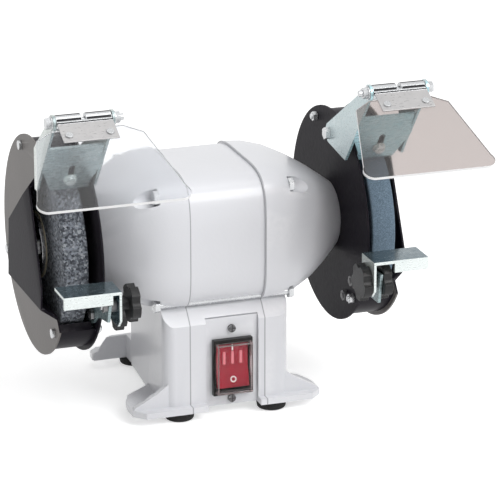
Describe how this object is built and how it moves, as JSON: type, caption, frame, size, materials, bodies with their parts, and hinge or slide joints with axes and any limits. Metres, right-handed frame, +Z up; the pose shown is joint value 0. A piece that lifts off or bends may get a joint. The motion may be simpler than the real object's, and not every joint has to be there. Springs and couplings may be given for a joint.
{
  "type": "bench grinder",
  "caption": "Bench grinder with a wheel at each end of its motor, sheet-metal guards, sliding tool rests and hinged clear eye shields.",
  "frame": {"origin": "directly below the middle of the spindle, on the underside of the castings and base plate", "axes": "+X along the spindle to the operator's right, -Y towards the operator, +Z up"},
  "size_m": [0.3622, 0.2781, 0.2745],
  "materials": {
    "casting": "pale grey enamel over die-cast aluminium",
    "guard_paint": "semi-gloss charcoal enamel",
    "zinc": "zinc-plated sheet",
    "steel": "turned and plated steel",
    "core_steel": "stacked laminations",
    "abrasive": "grey vitrified abrasive",
    "paper": "blotting paper",
    "clear_plastic": "clear polycarbonate",
    "black_plastic": "moulded black plastic",
    "red_plastic": "moulded red plastic",
    "pale_plastic": "moulded pale plastic",
    "rubber": "moulded rubber",
    "copper": "enamelled winding wire"
  },
  "bodies": {
    "machine": {"centre_housing": "casting", "left_end_casting": "casting", "right_end_casting": "casting", "base_plate": "zinc", "rubber_feet": "rubber", "foot_screws": "steel", "housing_bolts": "steel", "switch_plate": "casting", "switch_plate_screws": "steel", "switch_body": "black_plastic", "switch_cover": "clear_plastic", "capacitor": "pale_plastic", "terminal_block": "pale_plastic", "cord_gland": "black_plastic", "stator_core": "core_steel", "stator_windings": "copper", "bearing_outer_rings": "steel", "left_guard": "guard_paint", "right_guard": "guard_paint", "left_guard_cover": "guard_paint", "right_guard_cover": "guard_paint", "guard_screws": "steel", "cover_bolts": "steel", "left_rest_arm": "zinc", "right_rest_arm": "zinc", "arm_screws": "steel", "rest_collars": "steel", "rest_studs": "steel", "left_shield_bracket": "zinc", "right_shield_bracket": "zinc", "bracket_bolts": "steel", "left_hinge_pin": "steel", "right_hinge_pin": "steel"},
    "spindle": {"spindle_shaft": "steel", "rotor_core": "core_steel", "bearing_inner_rings": "steel", "bearing_balls": "steel", "inner_flanges": "steel", "outer_flanges": "steel", "spindle_nuts": "steel", "wheel_blotters": "paper", "left_wheel": "abrasive", "right_wheel": "abrasive"},
    "switch_rocker": {"switch_rocker": "red_plastic"},
    "left_rest": {"left_tool_rest": "zinc"},
    "right_rest": {"right_tool_rest": "zinc"},
    "left_arm_knob": {"left_arm_knob": "black_plastic"},
    "left_rest_knob": {"left_rest_knob": "black_plastic"},
    "right_rest_knob": {"right_rest_knob": "black_plastic"},
    "right_inner_knob": {"right_inner_knob": "black_plastic"},
    "left_spark": {"left_spark_plate": "zinc", "left_spark_screw": "steel"},
    "right_spark": {"right_spark_plate": "zinc", "right_spark_screw": "steel"},
    "left_shield": {"left_shield_hinge": "zinc", "left_shield_rivets": "steel", "left_eye_shield": "clear_plastic"},
    "right_shield": {"right_shield_hinge": "zinc", "right_shield_rivets": "steel", "right_eye_shield": "clear_plastic"}
  },
  "joints": [
    {"name": "spindle_spin", "type": "hinge", "parent": "machine", "child": "spindle", "pos_m": [0, 0, 0.133], "axis": [1, 0, 0], "continuous": true},
    {"name": "switch_rock", "type": "hinge", "parent": "machine", "child": "switch_rocker", "pos_m": [0.004, -0.058, 0.034], "axis": [1, 0, 0], "range_deg": [0, 14]},
    {"name": "left_arm_knob_turn", "type": "hinge", "parent": "machine", "child": "left_arm_knob", "pos_m": [-0.0925, -0.068, 0.094], "axis": [1, 0, 0], "continuous": true},
    {"name": "left_rest_knob_turn", "type": "hinge", "parent": "machine", "child": "left_rest_knob", "pos_m": [-0.0923, -0.1046, 0.1135], "axis": [1, 0, 0], "continuous": true},
    {"name": "right_rest_knob_turn", "type": "hinge", "parent": "machine", "child": "right_rest_knob", "pos_m": [0.0994, -0.1004, 0.107], "axis": [1, 0, 0], "continuous": true},
    {"name": "right_inner_knob_turn", "type": "hinge", "parent": "machine", "child": "right_inner_knob", "pos_m": [0.1165, -0.1004, 0.107], "axis": [1, 0, 0], "continuous": true},
    {"name": "left_rest_slide", "type": "slide", "parent": "machine", "child": "left_rest", "axis": [0, -1, 0], "range_m": [0, 0.006]},
    {"name": "right_rest_slide", "type": "slide", "parent": "machine", "child": "right_rest", "axis": [0, -1, 0], "range_m": [0, 0.006]},
    {"name": "left_spark_slide", "type": "slide", "parent": "machine", "child": "left_spark", "axis": [0, -0.5592, 0.829], "range_m": [0, 0.013]},
    {"name": "right_spark_slide", "type": "slide", "parent": "machine", "child": "right_spark", "axis": [0, -0.5592, 0.829], "range_m": [0, 0.013]},
    {"name": "left_shield_tilt", "type": "hinge", "parent": "machine", "child": "left_shield", "pos_m": [-0.1275, -0.098, 0.261], "axis": [1, 0, 0], "range_deg": [-75, 20]},
    {"name": "right_shield_tilt", "type": "hinge", "parent": "machine", "child": "right_shield", "pos_m": [0.1275, -0.098, 0.261], "axis": [1, 0, 0], "range_deg": [-75, 20]}
  ]
}
